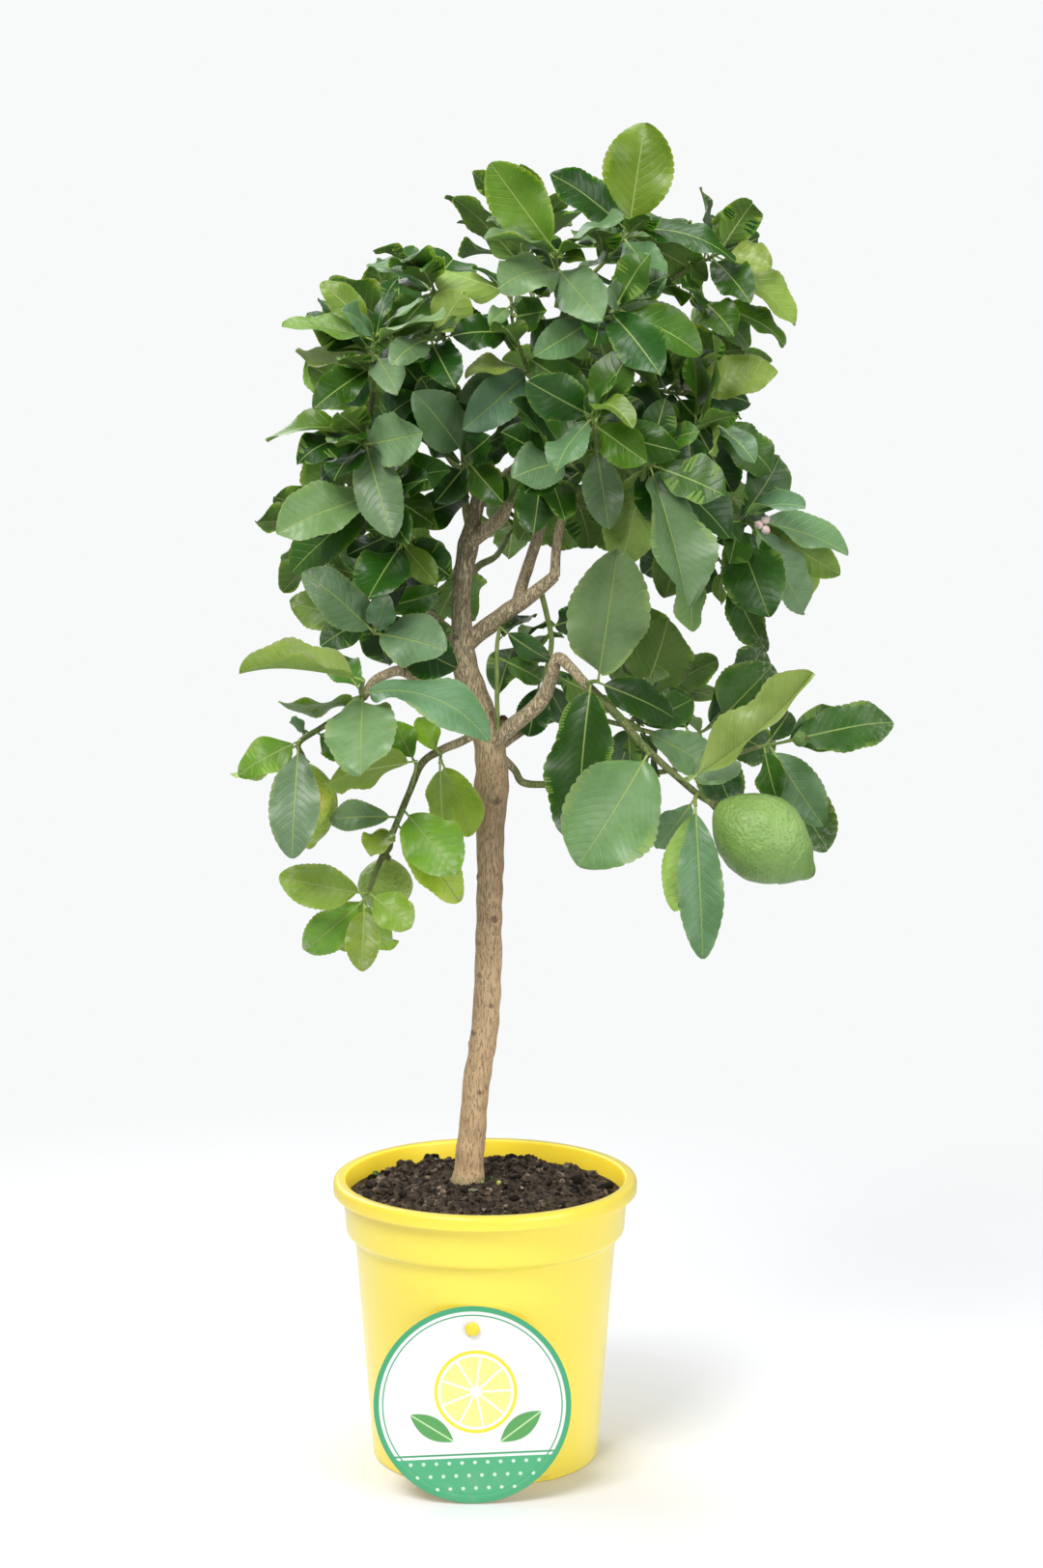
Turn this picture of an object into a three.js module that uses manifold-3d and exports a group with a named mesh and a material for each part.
// A lemon tree on a short stem, growing in a round plastic pot with a round label card.
// Millimetres, +Z up. The origin is under the middle of the pot, on the ground; +Y is away
// from the side that shows the label. Every leafy twig is one fused solid with its leaves.

import * as THREE from 'three';
import { mergeVertices } from 'three/addons/utils/BufferGeometryUtils.js';
import Module from 'manifold-3d';

const wasm = await Module();
wasm.setup();

// ---------------------------------------------------------------- driving dimensions

const GAP = 0.3;
const SLIVER_GRAINS = [0.15, 0.1, 0.06, 0.03, 0.01];

const POT = {
  height: 204, foot: 81, stepLow: 93.5, stepHigh: 99.5, stepHeight: 162, stepRise: 3,
  lipUnder: 193, lip: 108.5, wall: 2, floor: 3, sides: 32,
  round: 2.2, notchCount: 6, notchWidth: 12, notchHeight: 5, notchDepth: 6,
};
const SOIL = { edge: 190, middle: 201, rings: 6, sides: 22, crumb: 2.4, side: 0.7 };
const TRUNK_FOOT = { depth: 60, spread: 1.5 };
const CARD = { radius: 68.5, thick: 0.8, x: -8, lowest: 0.5, footY: -112, lean: 8.2, sides: 40 };
const PEG = { shaft: 2, head: 5, headThick: 2.6, round: 0.8, z: 121, hole: 2.4, stand: 1.4, sides: 12 };

const LEMONS = [
  // name, the limb that carries it, far end, greatest radius, nipple length
  ['lemon_right', 'low_right', [222, -122, 445], 29.5, 7],
  ['lemon_left', 'left_tail', [-121, -38, 448], 21, 6],
  ['lemon_behind', 'stalk_behind', [-71, -16, 396], 19.5, 5],
];
const LEMON_RINGS = 7;
const LEMON_SIDES = 14;
const FRUITLET = { twig: 'fruitlet_twig', end: [222, -65, 530], radius: 5.4, nipple: 3.4, sides: 7 };
const BUDS = [
  // name, the twig that carries them, tip of each bud, greatest radius
  ['buds_right', 'far_right', [[193, -64, 681], [186, -67, 676], [193, -67, 671]], 3.0],
  ['buds_top', 'right_light', [[145, -28, 770], [140, -32, 771]], 3.0],
];
const BUD_STALK = 0.8;
const BUD_FOOT = 1.5;
const BUD_SIDES = 5;

// How a leaf is drawn: its petiole, half thickness at the rib, cut edge and wave. A leaf wider
// than wide has three teeth a side, and other leaves have two.
const LEAF = {
  petiole: 7, sunk: 0.8, stalkHalf: 1, ribHalf: 0.7, wide: 40, late: 1.08, blunt: 0.62,
  crest: 1.05, notch: 0.93, teethAhead: 0.85, wave: 0.055, waves: 1.4,
};
const CROWN_MIDDLE = [40, 0, 660];
const TWIG_SIDES = 4;

// Leaves placed by rule: least length, width for that length, curl and fold, with what a draw adds.
const RULED = {
  length: 52, longer: 28, width: 0.5, wider: 0.12, curl: 12, curlier: 18, fold: 12,
  turn: 137.5, first: 0.2, ahead: 0.6, aside: 0.9, lift: 0.1,
  faceAhead: 0.7, faceUp: 0.6, faceOut: 0.5,
};

// How leaves are bent clear of each other: the tip slides by each reach, each way, in turn.
const CLEAR = {
  dots: 5, sameTwig: 3.2, otherTwig: 5.6, wood: 3.6, fromSame: 0.22, fromOther: 0.1, fromWood: 0.35,
};
const REACHES = [7, 14, 21, 30, 40];
const WAYS = [
  [0, -1, 0], [0, 1, 0], [0, -0.7, 0.7], [0, 0.7, 0.7], [0, -0.7, -0.7], [0, 0.7, -0.7],
  [0.8, -0.6, 0], [-0.8, -0.6, 0], [0.8, 0.6, 0], [-0.8, 0.6, 0],
];

// Trunk, limbs and green shoots that carry the twigs: name, sides, [x, y, z, radius].
const WOOD = [
  ['trunk', 10, [
    [-12, 0, 201, 10.7], [-9, 0, 239, 9.7], [-6, 1, 273, 9.6], [-1, 3, 305, 9.6], [2, 2, 343, 9.6],
    [3, -2, 386, 9.2], [4, -4, 424, 9.2], [4, -2, 459, 10.2], [5, 0, 486, 12.2], [5, 2, 503, 11.2],
    [0, 2, 530, 10.5], [-8, 0, 554, 9.5], [-14, -2, 575, 8.8], [-16, -2, 602, 7.1],
    [-15, 0, 632, 6.4], [-11, 2, 656, 7.4], [-7, 2, 674, 5.4], [-3, 3, 696, 4.7], [-4, 4, 719, 4.0],
    [-3, 5, 743, 3.0]]],
  ['stub', 5, [
    [6, -2, 520, 4.1], [11, -3, 529, 3.4], [14, -4, 536, 2.7]]],
  ['low_left', 7, [
    [-9, 0, 541, 4.4], [-27, -8, 554, 4.0], [-42, -16, 562, 4.0], [-57, -26, 571, 3.7],
    [-67, -36, 570, 3.3], [-76, -48, 566, 3.0], [-82, -58, 557, 3.0]]],
  ['mid_left', 7, [
    [-16, 0, 583, 4.7], [-27, 10, 596, 4.1], [-43, 20, 608, 3.7], [-59, 28, 624, 3.4],
    [-71, 36, 639, 3.1], [-80, 40, 656, 2.4]]],
  ['left_rise', 5, [
    [-43, 20, 608, 3.1], [-49, 16, 631, 2.7], [-54, 12, 658, 2.7], [-59, 6, 679, 2.4],
    [-65, -2, 694, 2.3], [-72, -14, 714, 2.0], [-78, -26, 737, 2.0], [-75, -36, 764, 1.6]]],
  ['right_main', 7, [
    [-13, 0, 586, 6.1], [2, -2, 599, 6.4], [16, -5, 610, 6.0], [29, -8, 619, 5.4],
    [39, -11, 627, 4.7], [49, -14, 636, 4.0]]],
  ['right_rise', 5, [
    [23, -6, 615, 4.7], [28, 4, 633, 4.0], [34, 14, 650, 4.1], [44, 26, 677, 3.4],
    [61, 38, 709, 2.7], [78, 46, 744, 2.4], [94, 50, 770, 2.0]]],
  ['right_mid', 5, [
    [49, -14, 636, 3.7], [50, -18, 654, 3.3], [53, -22, 672, 3.0], [60, -28, 689, 2.6],
    [73, -36, 703, 2.3], [86, -46, 713, 2.3], [104, -60, 723, 2.0], [123, -70, 735, 1.6]]],
  ['right_far', 5, [
    [60, -28, 689, 2.3], [80, -22, 682, 2.0], [106, -18, 679, 2.0], [132, -20, 677, 2.0],
    [155, -26, 675, 1.7], [170, -32, 672, 1.7]]],
  ['lead_right', 5, [
    [2, 3, 708, 3.3], [11, -2, 724, 3.0], [21, -8, 740, 2.7], [32, -12, 760, 2.7],
    [41, -12, 776, 2.7], [50, -8, 798, 2.3], [55, -2, 817, 2.0], [61, 2, 834, 1.7]]],
  ['lead_back', 5, [
    [-1, 4, 691, 3.0], [16, 12, 705, 2.7], [31, 22, 717, 2.7], [53, 38, 732, 2.4],
    [82, 54, 747, 2.0], [110, 66, 762, 1.7]]],
  ['shoulder', 7, [
    [-10, 0, 658, 5.4], [4, -8, 669, 5.0], [13, -14, 678, 4.7], [19, -22, 689, 2.7],
    [27, -32, 702, 2.0]]],
  ['left_shoot', 5, [
    [-10, 0, 666, 3.0], [-13, -2, 686, 2.7], [-14, -6, 720, 2.3], [-18, -10, 746, 2.3],
    [-23, -16, 773, 2.0], [-27, -22, 800, 1.6], [-31, -26, 821, 1.6]]],
  ['top_right', 5, [
    [55, -2, 817, 2.0], [74, 4, 817, 1.7], [99, 10, 825, 1.7], [126, 10, 837, 1.7],
    [147, 8, 849, 1.3]]],
  ['low_right', 6, [
    [7, -2, 518, 6.1], [19, -8, 530, 5.7], [31, -14, 540, 5.4], [41, -20, 552, 5.4],
    [47, -26, 568, 4.7], [51, -32, 581, 4.0], [59, -40, 576, 3.7], [70, -50, 565, 3.3],
    [92, -68, 545, 3.0], [110, -84, 526, 2.6], [130, -98, 509, 2.3], [144, -106, 498, 2.3],
    [152, -110, 493, 1.9], [156, -112, 491, 3.4]]],
  ['low_back', 5, [
    [12, 2, 515, 3.4], [26, 18, 522, 2.7], [43, 36, 527, 2.4], [67, 52, 529, 2.1],
    [102, 62, 520, 1.7], [137, 62, 511, 1.7]]],
  ['low_behind', 5, [
    [11, 0, 508, 3.4], [21, 6, 497, 2.7], [28, 10, 487, 2.7], [50, 12, 486, 2.4], [87, 10, 490, 2.0],
    [128, 0, 497, 2.0], [164, -22, 509, 1.7], [189, -40, 520, 1.7]]],
  ['left_tail', 5, [
    [-82, -58, 557, 2.6], [-95, -58, 546, 2.3], [-112, -54, 535, 2.0], [-127, -48, 524, 2.0],
    [-125, -44, 515, 1.7], [-124, -42, 512, 1.7], [-123, -41, 509, 3.0]]],
  ['stalk_behind', 5, [
    [-64, -48, 459, 2.0], [-65, -34, 449, 1.7], [-68, -24, 443, 1.6], [-68, -22, 439, 2.8]]],
  ['left_hang', 5, [
    [2, -4, 530, 3.4], [-14, -14, 521, 3.0], [-30, -22, 515, 3.0], [-43, -30, 507, 2.7],
    [-52, -38, 487, 2.3], [-64, -48, 459, 2.3], [-73, -55, 439, 2.0], [-79, -60, 423, 1.7]]],
  ['back_left', 6, [
    [-5, 2, 690, 3.2], [-16, 30, 704, 2.8], [-32, 62, 722, 2.4], [-46, 92, 744, 2.0],
    [-54, 118, 772, 1.6]]],
  ['back_mid', 6, [
    [34, 24, 718, 2.6], [40, 58, 712, 2.4], [48, 92, 718, 2.2], [58, 122, 730, 1.8]]],
  ['back_low', 6, [
    [-15, 0, 625, 3.6], [-12, 30, 630, 3.0], [-4, 62, 636, 2.6], [8, 96, 640, 2.2], [16, 126, 652, 1.8]]],
  ['back_high', 6, [
    [49, -8, 797, 2.3], [44, 22, 806, 2.0], [36, 52, 820, 1.8], [30, 80, 840, 1.5]]],
];

// Leafy twigs: name, start and end radius, the twig's points, how many leaves are added by
// rule, then one row for each leaf set by hand: place along the twig, tip x, y, z, width, what
// its upper face looks at, curl and fold.
const SPRAYS = [
  ['hero_stand', 1.7, 1.3, [[70, -50, 565], [73, -62, 568], [78, -72, 570]], 0, [
    [1, 90, -106, 663, 59, 'F', 20, 20],
    [0.55, 64, -104, 463, 57, 'FL', 14, 14],
    [0.8, 132, -48, 542, 32, 'FU', 20, 12],
  ]],
  ['hero_low', 1.6, 1.3, [[110, -84, 526], [110, -100, 527], [111, -112, 526]], 0, [
    [0.95, 64, -150, 457, 69, 'F', 16, 10],
  ]],
  ['hero_right', 1.6, 1.3, [[104, -60, 723], [109, -84, 722], [111, -104, 718]], 1, [
    [1, 135, -150, 628, 58, 'FR', 16, 34],
    [0.65, 93, -92, 650, 41, 'B', -12, 12],
    [0.45, 127, -70, 699, 21, 'FU', 16, 12],
  ]],
  ['left_node', 2.0, 1.6, [[-82, -58, 557], [-83, -70, 563], [-81, -82, 572]], 0, [
    [1, -162, -112, 585, 38, 'UF', 20, 52],
    [0.2, -81, -124, 513, 51, 'F', 22, 14],
    [0.2, 8, -118, 540, 47, 'UF', 64, 14],
    [0.2, -140, -62, 544, 33, 'DF', 22, 14],
    [0.45, -104, -30, 582, 25, 'FU', 16, 12],
  ]],
  ['far_right', 1.3, 1.0, [[170, -32, 672], [173, -38, 674], [179, -46, 676], [186, -52, 674]], 0, [
    [0.2, 193, -78, 615, 44, 'F', 16, 10],
    [0.3, 222, -76, 681, 28, 'UF', 54, 16],
    [0.7, 249, -60, 653, 33, 'UF', 36, 14],
    [0.85, 244, -28, 639, 33, 'B', 18, 14],
    [0.85, 223, -56, 609, 34, 'FR', 20, 18],
    [0.85, 238, -22, 608, 40, 'BR', 18, 14],
    [0.5, 205, 6, 664, 27, 'FU', 18, 12],
  ]],
  ['lemon_hang', 1.6, 1.3, [[144, -106, 498], [142, -118, 496], [142, -126, 493]], 0, [
    [0.95, 134, -146, 424, 30, 'B', 14, 12],
    [0.8, 158, -142, 392, 34, 'FU', 26, 26],
    [0.35, 125, -80, 457, 26, 'F', 16, 12],
  ]],
  ['lemon_twig', 1.3, 1.3, [[130, -98, 509], [133, -110, 509], [137, -120, 509]], 0, [
    [1, 219, -126, 583, 49, 'UF', -30, 40],
    [0.7, 170, -78, 508, 29, 'FU', 26, 12],
  ]],
  ['fruitlet_twig', 1.3, 1.0, [[189, -40, 520], [196, -44, 522], [204, -47, 524], [213, -54, 527]], 0, [
    [0.75, 285, -34, 539, 36, 'FU', 16, 12],
    [0.35, 231, -78, 472, 33, 'F', 16, 12],
    [0.25, 214, -16, 543, 21, 'F', 14, 12],
    [0.2, 240, -30, 445, 40, 'F', 14, 12],
    [0.2, 202, -66, 481, 25, 'FL', 16, 12],
  ]],
  ['low_right_back', 1.4, 1.0, [[137, 62, 511], [148, 50, 515], [158, 40, 521], [165, 34, 527]], 1, [
    [1, 203, 20, 569, 49, 'F', 14, 12],
    [0.85, 206, 54, 502, 38, 'FU', 16, 12],
    [0.3, 130, 56, 549, 27, 'F', 14, 12],
    [0.5, 178, 40, 462, 35, 'F', 16, 12],
  ]],
  ['low_mid', 1.6, 1.3, [[92, -68, 545], [100, -58, 540], [108, -52, 534]], 1, [
    [1, 172, -40, 500, 32, 'FU', 24, 12],
    [0.7, 93, -26, 500, 37, 'F', 12, 12],
    [0.8, 144, -10, 549, 27, 'F', 20, 16],
  ]],
  ['left_tail', 1.3, 1.0, [[-112, -54, 535], [-118, -60, 533], [-123, -64, 529], [-126, -68, 526]], 0, [
    [0.95, -171, -36, 496, 28, 'DF', 18, 18],
    [1, -129, -104, 453, 36, 'F', 34, 14],
    [0.2, -109, -20, 556, 25, 'F', 18, 14],
    [0.4, -131, -76, 554, 14, 'FU', 18, 16],
  ]],
  ['left_bright', 1.3, 1.0, [[-52, -38, 487], [-48, -50, 500], [-46, -60, 513]], 0, [
    [1, -112, -96, 508, 44, 'BU', 12, 12],
    [0.9, -61, -30, 535, 22, 'F', 14, 12],
  ]],
  ['hang_mid', 1.3, 1.0, [[-64, -48, 459], [-60, -60, 470], [-54, -70, 482]], 0, [
    [0.95, -18, -106, 443, 42, 'FU', 18, 12],
    [0.5, -15, -74, 418, 33, 'FR', 16, 14],
    [0.35, -77, -82, 453, 25, 'FL', 16, 12],
    [0.7, -104, -50, 463, 22, 'FU', 34, 16],
  ]],
  ['hang_end', 1.3, 1.0, [[-79, -60, 423], [-81, -62, 420], [-82, -64, 416]], 0, [
    [0.35, -140, -76, 436, 32, 'F', 30, 14],
    [0.8, -125, -60, 380, 29, 'F', 34, 14],
    [1, -83, -88, 372, 25, 'F', 24, 14],
    [0.2, -49, -84, 402, 29, 'FR', 24, 12],
  ]],
  ['hang_pair', 1.3, 1.0, [[-30, -22, 515], [-30, -34, 513], [-30, -44, 511]], 0, [
    [1, -28, -66, 467, 23, 'BL', 16, 12],
    [0.8, -9, -28, 455, 30, 'FR', 18, 12],
    [0.6, -45, -10, 537, 19, 'F', 14, 12],
  ]],
  ['center_right', 1.6, 1.3, [[73, -36, 704], [76, -62, 721], [75, -88, 738], [72, -106, 751]], 2, [
    [1, 32, -142, 774, 34, 'F', 14, 12],
    [0.95, 47, -150, 720, 29, 'FL', 18, 12],
    [0.85, 107, -138, 723, 29, 'F', 14, 12],
    [0.75, 130, -116, 728, 29, 'F', 14, 12],
    [1, 98, -152, 745, 23, 'UF', 100, 14],
    [0.5, 85, -96, 670, 28, 'F', 22, 14],
  ]],
  ['center_left', 1.7, 1.3, [[27, -32, 702], [36, -54, 711], [47, -74, 717], [59, -92, 720]], 2, [
    [1, 21, -124, 713, 34, 'FU', 24, 14],
    [0.45, 34, -104, 673, 32, 'F', 18, 12],
    [0.7, 13, -90, 740, 27, 'FU', 18, 12],
  ]],
  ['left_shoot', 1.3, 1.0, [[-78, -26, 737], [-79, -42, 734], [-80, -56, 729]], 1, [
    [0.75, -147, -48, 731, 30, 'UF', 72, 12],
    [0.75, -100, -84, 709, 30, 'FL', 16, 14],
    [1, -40, -92, 739, 37, 'F', 18, 14],
    [0.85, -61, -118, 693, 34, 'F', 18, 12],
    [0.35, -114, -8, 697, 26, 'L', 12, 14],
  ]],
  ['left_hand', 1.3, 1.0, [[-65, -2, 694], [-69, -26, 693], [-74, -48, 694]], 2, [
    [1, -139, -78, 672, 40, 'FU', 26, 16],
    [0.75, -133, -36, 641, 36, 'FU', 20, 14],
    [0.85, -51, -92, 667, 27, 'F', 16, 12],
    [0.65, -32, -84, 700, 28, 'FU', 16, 12],
  ]],
  ['left_mid', 1.7, 1.4, [[-80, 40, 656], [-78, 10, 638], [-76, -18, 619], [-75, -40, 599]], 2, [
    [1, -120, -80, 645, 37, 'FU', 22, 14],
    [1, -65, -70, 627, 22, 'F', 22, 20],
    [1, -25, -74, 592, 40, 'FU', 16, 12],
    [0.85, -137, -12, 617, 29, 'F', 22, 16],
    [0.75, -29, -24, 626, 22, 'FR', 30, 18],
    [0.5, -110, 24, 646, 30, 'F', 14, 12],
  ]],
  ['left_low', 1.3, 1.0, [[-59, 6, 679], [-57, -16, 668], [-57, -32, 658]], 2, [
    [1, -94, -66, 628, 40, 'FU', 18, 12],
    [0.85, -32, -56, 635, 20, 'F', 20, 14],
    [0.7, -79, -56, 684, 22, 'FU', 14, 12],
  ]],
  ['top', 1.7, 1.3, [[61, 2, 832], [74, -4, 842], [88, -8, 857], [99, -10, 871]], 2, [
    [1, 110, -12, 945, 50, 'F', 8, 14],
    [1, 47, -36, 911, 31, 'FU', 22, 22],
    [1, 172, -34, 852, 35, 'UF', 58, 12],
    [0.95, 158, 6, 838, 34, 'BU', 20, 10],
    [0.9, 119, -62, 832, 30, 'FU', 20, 14],
    [0.75, 66, 30, 874, 25, 'FU', 20, 10],
  ]],
  ['top_left', 1.7, 1.3, [[55, -2, 820], [52, -16, 835], [50, -28, 848], [49, -36, 858]], 2, [
    [1, 5, -44, 917, 40, 'F', 10, 12],
    [0.9, -1, -84, 867, 32, 'UF', 30, 18],
    [0.9, 97, -74, 881, 30, 'UF', 26, 18],
    [0.6, 13, -104, 839, 38, 'FU', 18, 10],
    [0.65, 76, -96, 817, 35, 'F', 20, 12],
    [0.85, 67, -60, 855, 14, 'FU', 10, 10],
  ]],
  ['top_center', 1.7, 1.3, [[55, -4, 812], [68, -30, 810], [79, -56, 815], [90, -74, 820]], 1, [
    [1, 147, -84, 791, 31, 'FU', 34, 16],
    [0.85, 117, -126, 779, 34, 'FU', 26, 14],
    [0.65, 140, -66, 810, 28, 'FR', 20, 14],
    [1, 85, -90, 845, 25, 'FU', 16, 14],
    [0.5, 39, -94, 802, 27, 'F', 20, 12],
  ]],
  ['right_top', 1.3, 1.0, [[147, 8, 849], [155, 4, 853], [162, 0, 857]], 1, [
    [1, 167, 2, 887, 17, 'F', 14, 14],
    [0.95, 191, 26, 867, 24, 'F', 14, 12],
    [0.95, 197, -14, 848, 26, 'FU', 16, 12],
    [0.75, 210, -26, 810, 32, 'UF', 40, 12],
    [0.6, 180, -46, 826, 27, 'FU', 18, 14],
    [0.5, 126, 48, 880, 25, 'FU', 16, 10],
  ]],
  ['right_light', 1.4, 1.0, [[94, 50, 770], [110, 24, 765], [125, 0, 762], [136, -20, 761]], 2, [
    [0.85, 199, -34, 779, 32, 'FU', 22, 12],
    [0.85, 157, -62, 753, 25, 'F', 18, 14],
    [0.85, 187, 10, 756, 27, 'FU', 22, 12],
    [0.85, 165, 16, 790, 28, 'FU', 14, 12],
    [0.7, 112, -40, 790, 26, 'F', 18, 12],
  ]],
  ['right_under', 1.3, 1.0, [[123, -70, 735], [134, -66, 738], [145, -60, 743], [154, -54, 746]], 1, [
    [1, 199, -44, 710, 33, 'FU', 26, 12],
    [0.95, 155, -92, 725, 19, 'BU', 24, 20],
    [1, 172, -88, 720, 20, 'UF', 16, 20],
    [0.45, 139, -104, 709, 22, 'F', 16, 14],
    [0.6, 167, -18, 701, 32, 'F', 16, 12],
  ]],
  ['top_fork', 1.7, 1.0, [[41, -12, 776], [32, -36, 778], [25, -52, 793], [20, -48, 811],
    [19, -38, 829]], 2, [
    [1, -34, -32, 844, 39, 'DB', -14, 14],
    [0.9, 5, -70, 811, 14, 'FU', 20, 20],
    [0.65, -19, -76, 804, 28, 'FU', 24, 12],
    [0.25, -11, -76, 779, 26, 'UF', 30, 14],
    [0.25, 3, -100, 754, 33, 'F', 16, 14],
    [0.25, -16, -56, 759, 24, 'FL', 16, 14],
    [0.45, 64, -92, 794, 27, 'F', 14, 12],
    [0.8, 58, -70, 819, 24, 'F', 14, 12],
  ]],
  ['lead_left', 1.3, 1.0, [[-9, 3, 704], [-11, -14, 711], [-12, -30, 717], [-14, -44, 723]], 2, [
    [0.95, -46, -82, 768, 38, 'FR', 16, 14],
    [0.7, 13, -62, 691, 24, 'F', 14, 12],
    [0.5, -32, -50, 690, 25, 'F', 14, 12],
    [0.8, 3, -78, 744, 23, 'F', 14, 12],
  ]],
  ['left_shoulder', 1.6, 1.3, [[-75, -36, 764], [-74, -42, 777], [-73, -48, 790], [-73, -52, 802]], 1, [
    [1, -109, -52, 838, 22, 'FU', 34, 14],
    [0.9, -135, -62, 811, 28, 'UF', 24, 12],
    [0.8, -129, -20, 786, 28, 'DF', 14, 14],
    [0.95, -40, -70, 827, 20, 'UF', 20, 16],
    [0.85, -25, -112, 816, 36, 'UF', 22, 14],
    [0.65, -57, -92, 767, 25, 'FU', 18, 12],
    [0.45, -113, -78, 755, 26, 'FU', 22, 14],
    [0.35, -100, -14, 757, 29, 'F', 14, 12],
    [0.95, -89, -100, 815, 23, 'FU', 14, 14],
  ]],
  ['left_upper', 1.3, 1.0, [[-31, -26, 821], [-33, -28, 830], [-36, -30, 839]], 2, [
    [1, -80, -20, 850, 21, 'UF', 22, 16],
    [0.85, -18, 2, 871, 39, 'F', 12, 12],
    [0.6, -49, -70, 842, 33, 'FU', 20, 12],
    [0.5, 0, -66, 819, 26, 'FU', 22, 14],
  ]],
  ['left_fore', 1.3, 1.0, [[-27, -22, 800], [-31, -44, 799], [-36, -64, 800]], 2, [
    [1, -60, -118, 792, 24, 'FU', 22, 14],
    [0.8, -9, -84, 809, 31, 'B', -10, 12],
    [0.9, -19, -106, 772, 28, 'F', 18, 12],
    [0.9, -54, -104, 788, 22, 'FU', 18, 12],
  ]],
  ['far_right_low', 1.3, 1.0, [[132, -20, 677], [146, -24, 664], [159, -26, 652], [167, -26, 641]], 0, [
    [1, 195, -34, 585, 28, 'FL', 20, 24],
    [0.9, 160, -50, 619, 15, 'BL', 16, 18],
    [0.45, 140, -42, 599, 28, 'BL', 20, 16],
    [0.65, 147, -8, 625, 25, 'F', 16, 12],
    [0.2, 125, -10, 618, 32, 'B', 16, 12],
    [0.2, 110, 20, 630, 29, 'F', 14, 12],
  ]],
  ['right_top_low', 1.3, 1.0, [[126, 10, 837], [140, -6, 829], [153, -16, 823]], 2, [
    [1, 210, -18, 797, 27, 'UF', 26, 16],
    [0.9, 169, -50, 804, 26, 'FU', 24, 12],
    [0.75, 186, 16, 792, 26, 'FU', 24, 12],
  ]],
  ['twig_low', 1.7, 1.4, [[10, -4, 521], [9, -14, 546], [9, -18, 567], [9, -16, 587], [11, -14, 600]], 0, [
    [1, 45, -26, 578, 18, 'FL', 24, 12],
    [0.65, 42, -2, 561, 18, 'FU', 16, 12],
  ]],
  ['twig_main', 2.0, 1.7, [[39, -11, 627], [44, -4, 606], [47, 2, 589], [44, 8, 570], [38, 12, 559]], 2, [
    [0.95, 31, 6, 520, 25, 'F', 16, 12],
    [0.35, 67, 30, 602, 23, 'F', 16, 12],
    [0.9, 60, 26, 525, 21, 'F', 16, 12],
  ]],
];

// Twigs at the back, where all the leaves follow the rule.
const BACK = [
  ['back_left_end', 1.5, 1.0, [[-54, 118, 772], [-58, 132, 784], [-60, 144, 798]], 6, []],
  ['back_left_side', 1.5, 1.0, [[-46, 92, 744], [-66, 104, 738], [-84, 112, 730]], 6, []],
  ['back_left_top', 1.6, 1.0, [[-32, 62, 722], [-44, 66, 748], [-54, 70, 776], [-60, 74, 800]], 6, []],
  ['back_mid_end', 1.5, 1.0, [[58, 122, 730], [64, 140, 736], [68, 158, 744]], 6, []],
  ['back_mid_low', 1.5, 1.0, [[48, 92, 718], [58, 106, 700], [66, 120, 684]], 6, []],
  ['back_low_end', 1.5, 1.0, [[16, 126, 652], [22, 144, 658], [28, 160, 668]], 6, []],
  ['back_low_left', 1.5, 1.0, [[-4, 62, 636], [-26, 78, 628], [-48, 92, 618]], 6, []],
  ['back_high_end', 1.4, 1.0, [[30, 80, 840], [26, 94, 852], [24, 104, 866]], 6, []],
  ['back_right_far', 1.5, 1.0, [[110, 66, 762], [128, 74, 768], [146, 82, 772]], 6, []],
  ['back_right_rise', 1.5, 1.0, [[86, 48, 757], [91, 62, 780], [97, 80, 808]], 6, []],
  ['back_low_right', 1.5, 1.0, [[102, 62, 520], [112, 76, 532], [122, 92, 546]], 6, []],
  ['back_right_mid', 1.5, 1.0, [[106, -18, 679], [118, 10, 684], [130, 38, 690], [140, 64, 694]], 6, []],
  ['back_left_mid', 1.5, 1.0, [[-80, 40, 656], [-96, 52, 660], [-112, 62, 666]], 6, []],
];

// ---------------------------------------------------------------- materials

const bark = new THREE.MeshStandardMaterial({ color: 0x97806a, roughness: 0.88 });
const leafGreen = new THREE.MeshStandardMaterial({ color: 0x35662f, roughness: 0.5 });
const rind = new THREE.MeshStandardMaterial({ color: 0x7cb342, roughness: 0.45 });
const petal = new THREE.MeshStandardMaterial({ color: 0xe7c2c6, roughness: 0.6 });
const potPlastic = new THREE.MeshStandardMaterial({ color: 0xfde63f, roughness: 0.42 });
const earth = new THREE.MeshStandardMaterial({ color: 0x3b2f2a, roughness: 0.97 });
const cardFace = new THREE.MeshStandardMaterial({ color: 0xf2f5ee, roughness: 0.5 });
const pegPlastic = new THREE.MeshStandardMaterial({ color: 0xf6c51e, roughness: 0.4 });

function named(name, geometry, material) {
  const mesh = new THREE.Mesh(geometry, material);
  mesh.name = name;
  return mesh;
}

// ---------------------------------------------------------------- small vector helpers

const vec = (p) => new THREE.Vector3(p[0], p[1], p[2]);
const radians = (degrees) => degrees * Math.PI / 180;
const UP = new THREE.Vector3(0, 0, 1);
const SIDEWAYS = new THREE.Vector3(1, 0, 0);
const FACING = {
  F: [0, -1, 0], B: [0, 1, 0], U: [0, 0, 1], D: [0, 0, -1], L: [-1, 0, 0], R: [1, 0, 0],
};

// The direction that a leaf's upper face looks in, from its letters: the first letter counts most.
function facing(letters) {
  const sum = new THREE.Vector3();
  letters.split('').forEach((letter, k) => {
    sum.addScaledVector(vec(FACING[letter]), k === 0 ? 1 : 0.55);
  });
  return sum.normalize();
}

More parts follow.
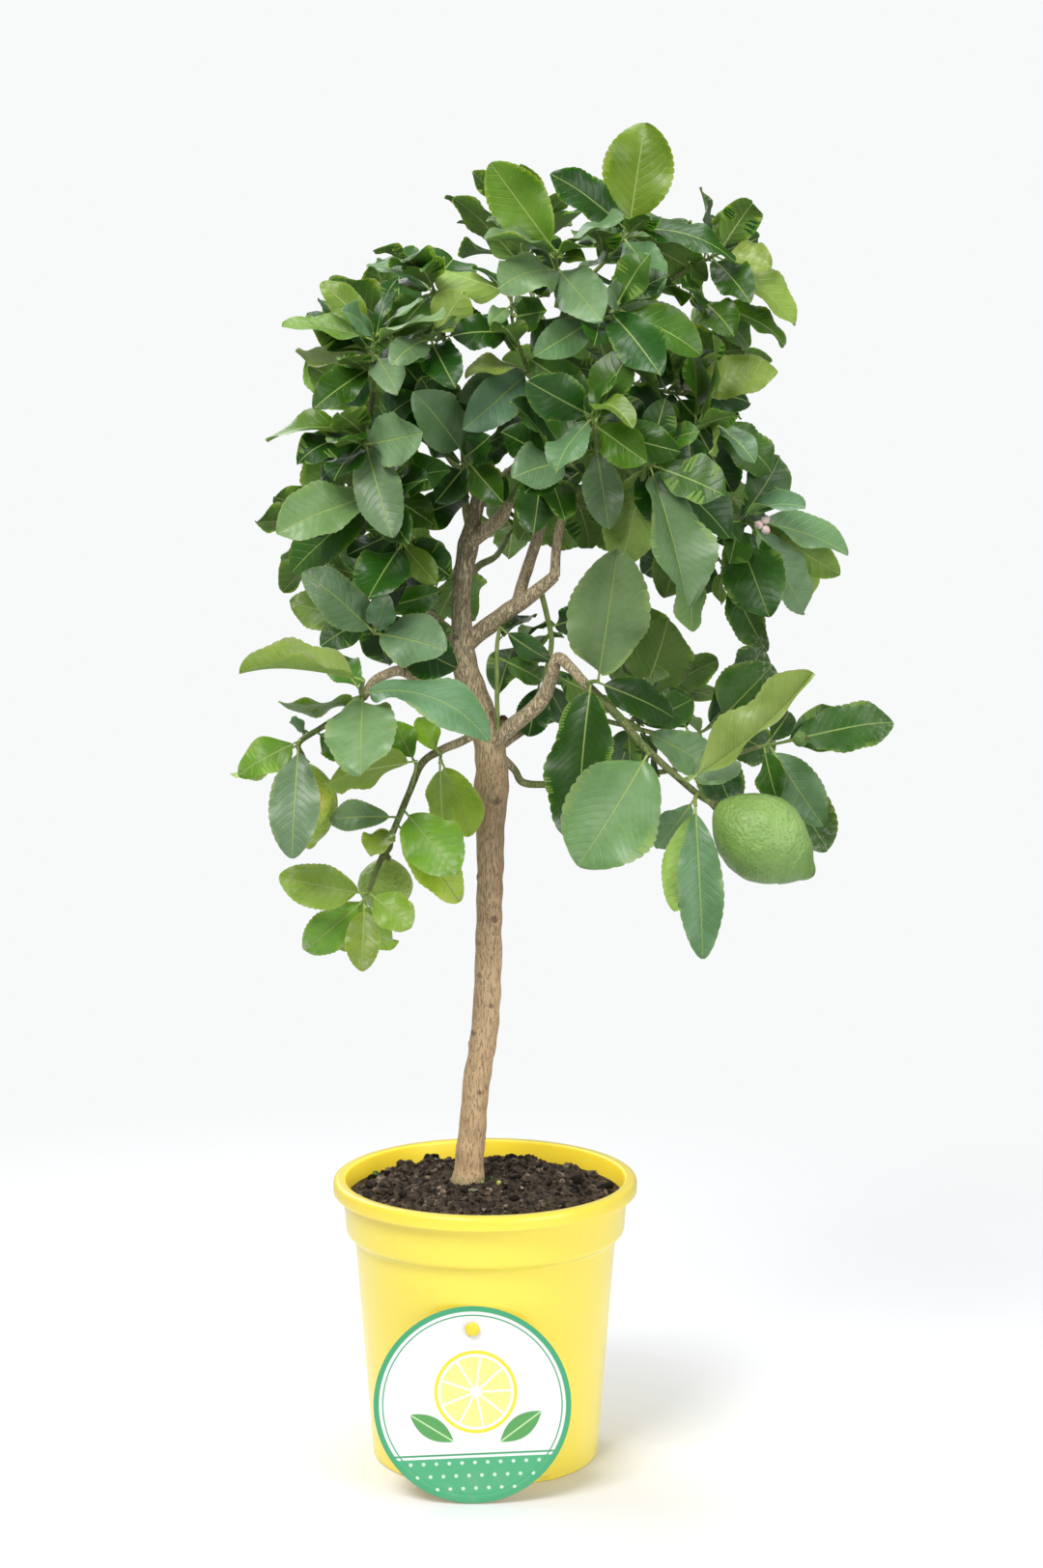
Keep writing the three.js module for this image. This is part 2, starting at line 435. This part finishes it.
// Draws from 0 to 1 by whole-number steps, the same on every machine.
function drawsFrom(seed) {
  let state = seed;
  return () => {
    state = (state * 16807) % 2147483647;
    return state / 2147483647;
  };
}

const drawLeaf = drawsFrom(20813);
const drawCrumb = drawsFrom(90210);

// A smooth curve through hand-set points, at t from 0 to 1 by point count.
function curveThrough(points) {
  return new THREE.CatmullRomCurve3(points.map(vec), false, 'catmullrom', 0.5);
}

// ---------------------------------------------------------------- solids

function solidOf(geometry) {
  const bare = geometry.clone();
  bare.deleteAttribute('normal');
  bare.deleteAttribute('uv');
  const merged = mergeVertices(bare, 1e-4);
  return new wasm.Manifold(new wasm.Mesh({
    numProp: 3,
    vertProperties: new Float32Array(merged.attributes.position.array),
    triVerts: new Uint32Array(merged.index.array),
  }));
}

function geometryOf(solid) {
  const mesh = solid.getMesh();
  const geometry = new THREE.BufferGeometry();
  geometry.setAttribute('position', new THREE.BufferAttribute(mesh.vertProperties, 3));
  geometry.setIndex(new THREE.BufferAttribute(mesh.triVerts, 1));
  return geometry;
}

function meshOf(points, faces) {
  const geometry = new THREE.BufferGeometry();
  geometry.setAttribute('position', new THREE.Float32BufferAttribute(points.flat(), 3));
  geometry.setIndex(faces.flat());
  return geometry;
}

// Keeps the largest body where a cut has left a loose scrap.
function largestBody(solid) {
  const bodies = solid.decompose();
  bodies.sort((a, b) => b.volume() - a.volume());
  return bodies[0];
}

// Joining leaves slivers, so corners closer than the grain are drawn together, if the solid
// stays whole.
function withoutSlivers(solid, grain) {
  const welded = mergeVertices(geometryOf(solid), grain);
  const ids = welded.index.array;
  const kept = [];
  for (let k = 0; k < ids.length; k += 3) {
    const [a, b, c] = [ids[k], ids[k + 1], ids[k + 2]];
    if (a !== b && b !== c && c !== a) kept.push(a, b, c);
  }
  welded.setIndex(kept);
  try {
    const result = solidOf(welded);
    const whole = result.decompose().length === 1;
    return whole && result.volume() > 0.99 * solid.volume() ? result : solid;
  } catch {
    return solid;
  }
}

// A tapering round limb: one ring of corners for each point, closed at both ends.
function limb(points, radii, sides) {
  const count = points.length;
  const corners = [];
  const faces = [];
  let across = null;
  for (let k = 0; k < count; k += 1) {
    const before = points[Math.max(k - 1, 0)];
    const after = points[Math.min(k + 1, count - 1)];
    const ahead = after.clone().sub(before).normalize();
    if (across === null) {
      const start = Math.abs(ahead.z) < 0.9 ? UP : SIDEWAYS;
      across = new THREE.Vector3().crossVectors(ahead, start);
    }
    across.addScaledVector(ahead, -across.dot(ahead)).normalize();
    const other = new THREE.Vector3().crossVectors(ahead, across);
    for (let j = 0; j < sides; j += 1) {
      const angle = 2 * Math.PI * j / sides;
      const corner = points[k].clone();
      corner.addScaledVector(across, radii[k] * Math.cos(angle));
      corner.addScaledVector(other, radii[k] * Math.sin(angle));
      corners.push(corner.toArray());
    }
  }
  for (let k = 0; k < count - 1; k += 1) {
    for (let j = 0; j < sides; j += 1) {
      const next = (j + 1) % sides;
      const [a, b] = [k * sides + j, k * sides + next];
      faces.push([a, b, b + sides], [a, b + sides, a + sides]);
    }
  }
  const last = (count - 1) * sides;
  for (let j = 1; j < sides - 1; j += 1) {
    faces.push([0, j + 1, j], [last, last + j, last + j + 1]);
  }
  return meshOf(corners, faces);
}

// ---------------------------------------------------------------- one leaf

// The rib is an arc from the twig to the tip. It turns by the leaf's curl, away from the upper
// face. Returns the point, the way ahead, the upper side and the right side at s from 0 to 1.
function ribAt(leaf, s) {
  const turn = leaf.curl * (s - 0.5);
  const radius = leaf.length / (2 * Math.sin(leaf.curl / 2));
  const along = radius * (Math.sin(turn) + Math.sin(leaf.curl / 2));
  const rise = radius * (Math.cos(turn) - Math.cos(leaf.curl / 2));
  const point = leaf.base.clone().addScaledVector(leaf.chord, along).addScaledVector(leaf.up, rise);
  const ahead = leaf.chord.clone().multiplyScalar(Math.cos(turn));
  ahead.addScaledVector(leaf.up, -Math.sin(turn));
  const upper = leaf.up.clone().multiplyScalar(Math.cos(turn));
  upper.addScaledVector(leaf.chord, Math.sin(turn));
  return { point, upper, right: new THREE.Vector3().crossVectors(ahead, upper) };
}

// Half the blade's width at b from 0 to 1: widest just past the middle, blunt at the tip.
function halfWidth(leaf, b) {
  const hump = Math.sin(Math.PI * Math.pow(Math.min(b, 1), LEAF.late));
  return 0.5 * leaf.width * Math.pow(Math.max(hump, 0), LEAF.blunt);
}

// A point of the blade: b along it, v across it from -1 at the left edge to 1 at the right edge.
// The halves lift by the fold, and the edges wave up and down.
function bladePoint(leaf, b, v, swell = 1) {
  const rib = ribAt(leaf, leaf.stalk + (1 - leaf.stalk) * b);
  const half = halfWidth(leaf, b) * swell * Math.abs(v);
  const wave = LEAF.wave * leaf.width * Math.sin(2 * Math.PI * LEAF.waves * b + leaf.phase) * v * v;
  const point = rib.point;
  point.addScaledVector(rib.right, Math.sign(v) * half * Math.cos(leaf.fold));
  point.addScaledVector(rib.upper, half * Math.sin(leaf.fold) + wave * (v > 0 ? 1 : -1));
  return point;
}

function makeLeaf(base, tip, width, up, curl, fold) {
  const chord = tip.clone().sub(base);
  const length = chord.length();
  chord.divideScalar(length);
  const square = up.clone().addScaledVector(chord, -up.dot(chord)).normalize();
  return {
    base, tip, width, length, chord, up: square, curl, fold,
    stalk: Math.min(0.3, LEAF.petiole / length), phase: length + width,
  };
}

// Walks two edges from the twig to their shared tip and fills the strip between them.
function strip(outer, inner, tip, flip) {
  const faces = [];
  let i = 1;
  let j = 1;
  const add = (a, b, c) => faces.push(flip ? [a, c, b] : [a, b, c]);
  add(outer[0].id, outer[1].id, inner[1].id);
  while (i < outer.length - 1 || j < inner.length - 1) {
    const takeOuter = j === inner.length - 1
      || (i < outer.length - 1 && outer[i + 1].b <= inner[j + 1].b);
    if (takeOuter) {
      add(outer[i].id, outer[i + 1].id, inner[j].id);
      i += 1;
    } else {
      add(outer[i].id, inner[j + 1].id, inner[j].id);
      j += 1;
    }
  }
  add(outer[i].id, tip, inner[j].id);
  return faces;
}

// A leaf as a thin closed lens: sharp cut edges, thickest along the rib, with its petiole.
// Both faces are split into triangles alike.
function leafSolid(leaf, teeth) {
  const points = [];
  const put = (p, b) => ({ id: points.push(p.toArray()) - 1, b });
  const root = put(leaf.base.clone().addScaledVector(leaf.chord, -LEAF.sunk), -1);
  const neck = ribAt(leaf, leaf.stalk);
  const sideways = (rib, amount) => rib.point.clone().addScaledVector(rib.right, amount);
  const lifted = (rib, amount) => rib.point.clone().addScaledVector(rib.upper, amount);
  const edges = [];
  [-1, 1].forEach((side) => {
    const edge = [root, put(sideways(neck, side * LEAF.stalkHalf), 0)];
    for (let k = 1; k < 2 * teeth; k += 1) {
      const b = Math.pow(k / (2 * teeth), LEAF.teethAhead);
      const swell = k % 2 === 1 ? LEAF.crest : LEAF.notch;
      edge.push(put(bladePoint(leaf, b, side, swell), b));
    }
    edges.push(edge);
  });
  const tip = put(ribAt(leaf, 1).point, 1).id;
  const ribs = [1, -1].map((face) => {
    const line = [root, put(lifted(neck, face * LEAF.stalkHalf), 0.001)];
    for (let k = 1; k < teeth; k += 1) {
      const b = k / teeth + 0.001;
      line.push(put(lifted(ribAt(leaf, leaf.stalk + (1 - leaf.stalk) * b), face * LEAF.ribHalf), b));
    }
    return line;
  });
  const [left, right] = edges;
  const [top, bottom] = ribs;
  const faces = [
    ...strip(left, top, tip, true), ...strip(right, top, tip, false),
    ...strip(left, bottom, tip, false), ...strip(right, bottom, tip, true),
  ];
  return solidOf(meshOf(points, faces));
}

// ---------------------------------------------------------------- bending leaves clear

const placed = [];

function keepPlace(node, dots) {
  const middle = new THREE.Vector3();
  dots.forEach((dot) => middle.add(dot.at));
  middle.divideScalar(dots.length);
  const reach = Math.max(...dots.map((dot) => dot.at.distanceTo(middle) + dot.radius));
  placed.push({ node, dots, middle, reach });
}

// Dots about 5 mm apart along a limb, each with the limb's radius there.
function limbDots(points, radii) {
  const curve = curveThrough(points);
  const dots = [];
  for (let k = 0; k < points.length - 1; k += 1) {
    const step = vec(points[k + 1]).distanceTo(vec(points[k]));
    const parts = Math.ceil(step / CLEAR.dots);
    for (let j = 0; j < parts; j += 1) {
      const f = j / parts;
      const at = curve.getPoint((k + f) / (points.length - 1));
      dots.push({ at, radius: radii[k] + (radii[k + 1] - radii[k]) * f, s: 0 });
    }
  }
  dots.push({ at: vec(points[points.length - 1]), radius: radii[points.length - 1], s: 0 });
  return dots;
}

// Dots about 5 mm apart over a blade.
function leafDots(leaf) {
  const rows = Math.ceil(leaf.length / CLEAR.dots);
  const halves = Math.ceil(leaf.width / 2 / CLEAR.dots);
  const dots = [];
  for (let i = 1; i <= rows; i += 1) {
    const b = i / rows;
    for (let j = -halves; j <= halves; j += 1) {
      dots.push({ at: bladePoint(leaf, b, j / halves), radius: 0, s: b });
    }
  }
  return dots;
}

// How far along a leaf the test starts, since its root is meant to touch what it grows from.
function startOfTest(same, wood, limbs) {
  if (limbs || (same && wood)) return CLEAR.fromWood;
  return same ? CLEAR.fromSame : CLEAR.fromOther;
}

function isClear(node, leaf, dots) {
  const middle = ribAt(leaf, 0.5).point;
  const size = 0.5 * leaf.length + 0.5 * leaf.width;
  for (const other of placed) {
    const wood = other.dots[0].s === 0;
    const same = other.node === node;
    const gap = wood ? CLEAR.wood : (same ? CLEAR.sameTwig : CLEAR.otherTwig);
    if (middle.distanceTo(other.middle) > size + other.reach + gap) continue;
    const start = startOfTest(same, wood, other.node === 'wood');
    for (const dot of dots) {
      if (dot.s < start) continue;
      for (const far of other.dots) {
        if (same && !wood && far.s < start) continue;
        const limit = gap + far.radius;
        if (dot.at.distanceToSquared(far.at) < limit * limit) return false;
      }
    }
  }
  return true;
}

// Slides the tip by each reach and way in turn, keeping the leaf's length, until it is clear.
function settle(node, base, tip, width, up, curl, fold) {
  const length = tip.distanceTo(base);
  const slides = [new THREE.Vector3()];
  REACHES.forEach((reach) => {
    WAYS.forEach((way) => slides.push(vec(way).multiplyScalar(reach)));
  });
  for (const slide of slides) {
    const moved = tip.clone().add(slide).sub(base).setLength(length).add(base);
    const leaf = makeLeaf(base, moved, width, up, curl, fold);
    const dots = leafDots(leaf);
    if (isClear(node, leaf, dots)) {
      keepPlace(node, dots);
      return leaf;
    }
  }
  return null;
}

// ---------------------------------------------------------------- wood

// The trunk also goes down into the soil, spreading a little.
function limbPoints(name, points) {
  if (name !== 'trunk') return points;
  const [x, y, z, r] = points[0];
  return [[x, y, z - TRUNK_FOOT.depth, r + TRUNK_FOOT.spread], ...points];
}

// All the wood as one solid; grow makes it thicker, for cutting a clearance into its neighbours.
function woodSolid(grow) {
  const solids = WOOD.map(([name, sides, row]) => {
    const points = limbPoints(name, row);
    return solidOf(limb(points.map(vec), points.map((p) => p[3] + grow), sides));
  });
  return largestBody(wasm.Manifold.union(solids));
}

// ---------------------------------------------------------------- twigs with their leaves

// Leaves that turn round a twig by the golden angle, leaning ahead and outwards.
function ruledLeaves(points, count) {
  const curve = curveThrough(points);
  const leaves = [];
  const phase = drawLeaf() * 2 * Math.PI;
  for (let k = 0; k < count; k += 1) {
    const t = RULED.first + (1 - RULED.first) * (k + 0.5) / count;
    const base = curve.getPoint(t);
    const ahead = curve.getPoint(Math.min(t + 0.05, 1)).sub(curve.getPoint(t - 0.05)).normalize();
    const across = new THREE.Vector3().crossVectors(ahead, UP).normalize();
    const other = new THREE.Vector3().crossVectors(ahead, across);
    const angle = phase + k * radians(RULED.turn);
    const way = ahead.clone().multiplyScalar(RULED.ahead);
    way.addScaledVector(across, RULED.aside * Math.cos(angle));
    way.addScaledVector(other, RULED.aside * Math.sin(angle));
    way.addScaledVector(UP, RULED.lift).normalize();
    const length = RULED.length + RULED.longer * drawLeaf();
    const width = length * (RULED.width + RULED.wider * drawLeaf());
    const outward = base.clone().sub(vec(CROWN_MIDDLE)).normalize();
    const up = ahead.clone().multiplyScalar(RULED.faceAhead).addScaledVector(UP, RULED.faceUp);
    up.addScaledVector(outward, RULED.faceOut).normalize();
    const curl = radians(RULED.curl + RULED.curlier * drawLeaf());
    const tip = base.clone().addScaledVector(way, length);
    leaves.push([base, tip, width, up, curl, radians(RULED.fold)]);
  }
  return leaves;
}

function setLeaves(points, rows) {
  const curve = curveThrough(points);
  return rows.map(([t, x, y, z, width, letters, curl, fold]) => [
    curve.getPoint(t), vec([x, y, z]), width, facing(letters), radians(curl), radians(fold),
  ]);
}

function twigRadii(startRadius, endRadius, count) {
  const radii = [];
  for (let k = 0; k < count; k += 1) {
    radii.push(startRadius + (endRadius - startRadius) * k / (count - 1));
  }
  return radii;
}

function spraySolid(twig, grownWood) {
  const solids = [solidOf(limb(twig.points.map(vec), twig.radii, TWIG_SIDES))];
  twig.leaves.forEach((leaf) => solids.push(leafSolid(leaf, leaf.width > LEAF.wide ? 3 : 2)));
  const joined = largestBody(wasm.Manifold.union(solids).subtract(grownWood));
  return SLIVER_GRAINS.reduce(withoutSlivers, joined);
}

function addLeaves(twig, wanted) {
  wanted.forEach((values) => {
    const leaf = settle(twig.name, ...values);
    if (leaf) twig.leaves.push(leaf);
  });
}

function makeTwigs() {
  const twigs = [...SPRAYS, ...BACK].map(([name, startRadius, endRadius, points, extra, rows]) => {
    const radii = twigRadii(startRadius, endRadius, points.length);
    return { name: `spray_${name}`, points, radii, extra, rows, leaves: [] };
  });
  WOOD.forEach(([, , row]) => keepPlace('wood', limbDots(row, row.map((p) => p[3]))));
  twigs.forEach((twig) => keepPlace(twig.name, limbDots(twig.points, twig.radii)));
  LEMONS.forEach((lemon) => keepPlace(lemon[0], lemonDots(lemon)));
  BUDS.forEach(([name, twigName, tips, radius]) => tips.forEach((tip) => {
    const dots = budPoints(twigName, tip).map((at) => ({ at, radius, s: 0 }));
    keepPlace(name, dots);
  }));
  twigs.forEach((twig) => addLeaves(twig, setLeaves(twig.points, twig.rows)));
  twigs.forEach((twig) => addLeaves(twig, ruledLeaves(twig.points, twig.extra)));
  return twigs;
}

// ---------------------------------------------------------------- fruit and buds

// A lemon turned about its own axis: a neck at the stalk, a full belly and a nipple.
function lemonProfile(length, radius, nipple) {
  const body = length - nipple;
  const outline = [[0, 0]];
  for (let k = 1; k < LEMON_RINGS; k += 1) {
    const f = k / LEMON_RINGS;
    const belly = Math.pow(Math.sin(Math.PI * Math.pow(f, 0.94)), 0.72);
    outline.push([radius * belly, body * f]);
  }
  outline.push([0.3 * radius, body], [0.2 * radius, length - 0.5], [0, length]);
  return outline.map(([r, h]) => new THREE.Vector2(r, h));
}

// Where a fruit or bud sits: just past the end of the limb or twig that carries it.
function seatOn(points) {
  const [before, end] = points.slice(-2).map(vec);
  const way = end.clone().sub(before).normalize();
  return { start: end.addScaledVector(way, GAP), way };
}

const limbNamed = (name) => WOOD.find((row) => row[0] === name)[2];
const twigNamed = (name) => SPRAYS.find((row) => row[0] === name)[3];

function along(start, end) {
  const way = vec(end).sub(start);
  const turn = new THREE.Quaternion().setFromUnitVectors(
    new THREE.Vector3(0, 1, 0), way.clone().normalize());
  return { length: way.length(), turn };
}

function lemon([name, limbName, far, radius, nipple]) {
  const { start } = seatOn(limbNamed(limbName));
  const { length, turn } = along(start, far);
  const geometry = new THREE.LatheGeometry(lemonProfile(length, radius, nipple), LEMON_SIDES);
  geometry.applyQuaternion(turn);
  geometry.translate(start.x, start.y, start.z);
  return named(name, geometryOf(solidOf(geometry)), rind);
}

function lemonDots([, limbName, far, radius]) {
  const { start } = seatOn(limbNamed(limbName));
  const dots = [];
  for (let k = 1; k < 8; k += 1) {
    const f = k / 8;
    const at = start.clone().lerp(vec(far), f);
    dots.push({ at, radius: radius * Math.sqrt(1 - Math.pow(2 * f - 1, 2)), s: 0 });
  }
  return dots;
}

function fruitlet() {
  const { start } = seatOn(twigNamed(FRUITLET.twig));
  const { length, turn } = along(start, FRUITLET.end);
  const profile = lemonProfile(length, FRUITLET.radius, FRUITLET.nipple);
  const geometry = new THREE.LatheGeometry(profile, FRUITLET.sides);
  geometry.applyQuaternion(turn);
  geometry.translate(start.x, start.y, start.z);
  return named('fruitlet', geometryOf(solidOf(geometry)), rind);
}

// The line of one bud: out of the twig's end, then over to its own tip.
function budPoints(twigName, tip) {
  const { start, way } = seatOn(twigNamed(twigName));
  const turn = start.clone().addScaledVector(way, BUD_FOOT);
  return [start, ...[0, 0.45, 0.75, 1].map((f) => turn.clone().lerp(vec(tip), f))];
}

// Closed buds: each a drop on a short stalk, all from one foot.
function buds([name, twigName, tips, radius]) {
  const radii = [BUD_STALK, BUD_STALK, BUD_STALK, radius, BUD_STALK];
  const solids = tips.map((tip) => solidOf(limb(budPoints(twigName, tip), radii, BUD_SIDES)));
  const joined = largestBody(wasm.Manifold.union(solids));
  return named(name, geometryOf(SLIVER_GRAINS.reduce(withoutSlivers, joined)), petal);
}

// ---------------------------------------------------------------- pot, soil and label

// Inner and outer radius of the pot's plain lower wall at a height.
function wallRadius(z) {
  return POT.foot + (POT.stepLow - POT.foot) * z / POT.stepHeight;
}

function collarRadius(z) {
  return POT.stepHigh + 2 * (z - POT.stepHeight) / (POT.lipUnder - POT.stepHeight);
}

// The pot's section from the middle of its foot, up its outside and down its inside.
function potProfile() {
  const { wall, floor, height, lip, lipUnder, stepHeight, stepRise, round } = POT;
  const innerTop = collarRadius(lipUnder) + 0.5 - wall;
  return [
    [0, 0], [POT.foot - round, 0], [POT.foot, round],
    [wallRadius(stepHeight), stepHeight], [POT.stepHigh, stepHeight + stepRise],
    [collarRadius(lipUnder), lipUnder], [lip, lipUnder + 1],
    [lip, height - round], [lip - round, height],
    [innerTop + round, height], [innerTop, height - round],
    [POT.stepHigh - wall, stepHeight + stepRise + 1],
    [wallRadius(stepHeight) - wall, stepHeight - 1],
    [wallRadius(floor) - wall, floor], [0, floor],
  ].map(([r, z]) => new THREE.Vector2(r, z));
}

// LatheGeometry turns about Y, so a lathed solid is stood up on +Z.
function lathe(profile, sides) {
  const geometry = new THREE.LatheGeometry(profile, sides);
  geometry.rotateX(Math.PI / 2);
  return geometry;
}

function rod(radius, from, to, sides) {
  const geometry = new THREE.CylinderGeometry(radius, radius, to - from, sides);
  geometry.translate(0, (from + to) / 2, 0);
  return geometry;
}

function pot() {
  let solid = solidOf(lathe(potProfile(), POT.sides));
  for (let k = 0; k < POT.notchCount; k += 1) {
    const notch = new THREE.BoxGeometry(2 * POT.notchDepth, POT.notchWidth, 2 * POT.notchHeight);
    notch.translate(POT.foot + POT.notchDepth - POT.wall / 2, 0, 0);
    notch.rotateZ(2 * Math.PI * k / POT.notchCount);
    solid = solid.subtract(solidOf(notch));
  }
  const hole = rod(PEG.hole, 0, POT.lip + 20, PEG.sides);
  hole.rotateX(Math.PI);
  hole.translate(CARD.x, 0, PEG.z);
  solid = solid.subtract(solidOf(hole));
  return named('pot', geometryOf(solid), potPlastic);
}

// The soil is a low mound of crumbs, clear of the pot's wall and floor and of the trunk.
function soil(grownWood) {
  const points = [[0, 0, SOIL.middle]];
  const faces = [];
  const top = collarRadius(SOIL.edge) - POT.wall - SOIL.side;
  for (let i = 1; i <= SOIL.rings; i += 1) {
    const f = i / SOIL.rings;
    for (let j = 0; j < SOIL.sides; j += 1) {
      const angle = 2 * Math.PI * (j + 0.5 * (i % 2)) / SOIL.sides;
      const crumb = i === SOIL.rings ? 0 : SOIL.crumb * (2 * drawCrumb() - 1);
      const z = SOIL.middle - (SOIL.middle - SOIL.edge) * f * f + crumb;
      points.push([top * f * Math.cos(angle), top * f * Math.sin(angle), z]);
    }
  }
  const levels = [
    [POT.stepHigh - POT.wall - SOIL.side, POT.stepHeight + POT.stepRise + 2],
    [wallRadius(POT.stepHeight) - POT.wall - SOIL.side, POT.stepHeight],
    [wallRadius(POT.floor) - POT.wall - SOIL.side - 0.2, POT.floor + GAP],
  ];
  const shift = 0.5 * (SOIL.rings % 2);
  levels.forEach(([radius, z]) => {
    for (let j = 0; j < SOIL.sides; j += 1) {
      const angle = 2 * Math.PI * (j + shift) / SOIL.sides;
      points.push([radius * Math.cos(angle), radius * Math.sin(angle), z]);
    }
  });
  const underside = points.push([0, 0, POT.floor + GAP]) - 1;
  const rings = SOIL.rings + levels.length;
  for (let j = 0; j < SOIL.sides; j += 1) {
    const next = (j + 1) % SOIL.sides;
    faces.push([0, 1 + j, 1 + next]);
    for (let i = 1; i < rings; i += 1) {
      const [a, b] = [1 + (i - 1) * SOIL.sides + j, 1 + (i - 1) * SOIL.sides + next];
      faces.push([a, a + SOIL.sides, b + SOIL.sides], [a, b + SOIL.sides, b]);
    }
    const last = 1 + (rings - 1) * SOIL.sides;
    faces.push([underside, last + next, last + j]);
  }
  const solid = solidOf(meshOf(points, faces)).subtract(grownWood);
  return named('soil', geometryOf(largestBody(solid)), earth);
}

// The card leans back on its lower edge, and the peg pins it to the wall near its top.
function cardPoint(up, out) {
  const lean = radians(CARD.lean);
  return [
    CARD.x,
    CARD.footY + up * Math.sin(lean) - out * Math.cos(lean),
    CARD.lowest + up * Math.cos(lean) + out * Math.sin(lean),
  ];
}

function labelCard() {
  const lean = radians(CARD.lean);
  const card = rod(CARD.radius, 0, CARD.thick, CARD.sides);
  const hole = rod(PEG.hole, -20, 20, PEG.sides);
  hole.translate(0, 0, (PEG.z - cardPoint(CARD.radius, 0)[2]) / Math.cos(lean));
  const geometry = geometryOf(solidOf(card).subtract(solidOf(hole)));
  geometry.rotateX(-lean);
  geometry.translate(...cardPoint(CARD.radius + GAP, 0));
  return named('label_card', geometry, cardFace);
}

function labelPeg() {
  const face = cardPoint((PEG.z - CARD.lowest) / Math.cos(radians(CARD.lean)), 0)[1];
  const inner = -Math.sqrt(Math.pow(wallRadius(PEG.z) - POT.wall, 2) - CARD.x * CARD.x);
  const front = face - CARD.thick - PEG.stand;
  const profile = [
    [0, 0], [PEG.head - PEG.round, 0], [PEG.head, PEG.round], [PEG.head, PEG.headThick],
    [PEG.shaft, PEG.headThick], [PEG.shaft, inner - front + PEG.headThick],
    [0, inner - front + PEG.headThick],
  ].map(([r, h]) => new THREE.Vector2(r, h));
  const geometry = new THREE.LatheGeometry(profile, PEG.sides);
  geometry.translate(CARD.x, front - PEG.headThick, PEG.z);
  return named('label_peg', geometryOf(solidOf(geometry)), pegPlastic);
}

// ---------------------------------------------------------------- the whole tree

const tree = new THREE.Group();
const grownWood = woodSolid(GAP);
tree.add(pot());
tree.add(soil(grownWood));
const wood = SLIVER_GRAINS.reduce(withoutSlivers, woodSolid(0));
tree.add(named('trunk_and_limbs', geometryOf(wood), bark));
makeTwigs().forEach((twig) => {
  tree.add(named(twig.name, geometryOf(spraySolid(twig, grownWood)), leafGreen));
});
LEMONS.forEach((row) => tree.add(lemon(row)));
tree.add(fruitlet());
BUDS.forEach((row) => tree.add(buds(row)));
tree.add(labelCard());
tree.add(labelPeg());

export default tree;
